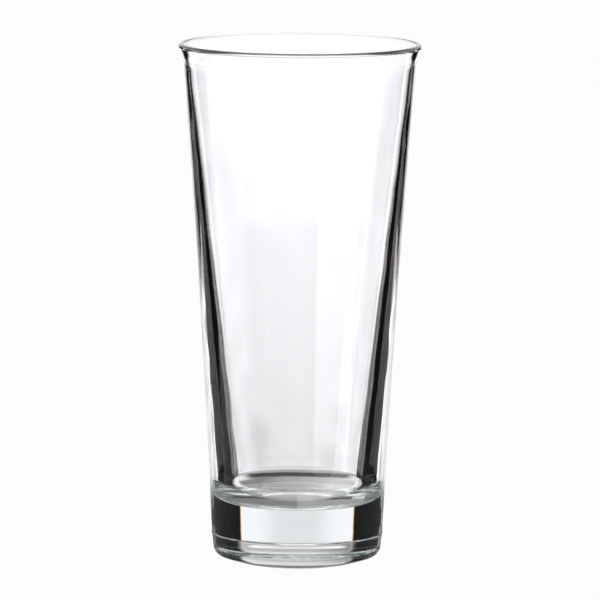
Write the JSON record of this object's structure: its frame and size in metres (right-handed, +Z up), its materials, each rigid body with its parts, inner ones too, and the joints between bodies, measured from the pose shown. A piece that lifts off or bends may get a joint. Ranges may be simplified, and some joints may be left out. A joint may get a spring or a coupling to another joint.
{
  "type": "pint glass",
  "caption": "Tall tapered drinking glass in clear pressed glass, with a thick solid base and a flared rounded lip.",
  "frame": {"origin": "centre of the ring that the glass stands on", "axes": "+Z up along the glass's own axis, from the foot to the lip. The glass is round, so +X and +Y are any two level directions"},
  "size_m": [0.0854, 0.0854, 0.183],
  "materials": {
    "clear_glass": "clear pressed soda-lime glass, fire polished, with a faint green tint where it is thick"
  },
  "bodies": {
    "root": {"glass_body": "clear_glass"}
  },
  "joints": []
}
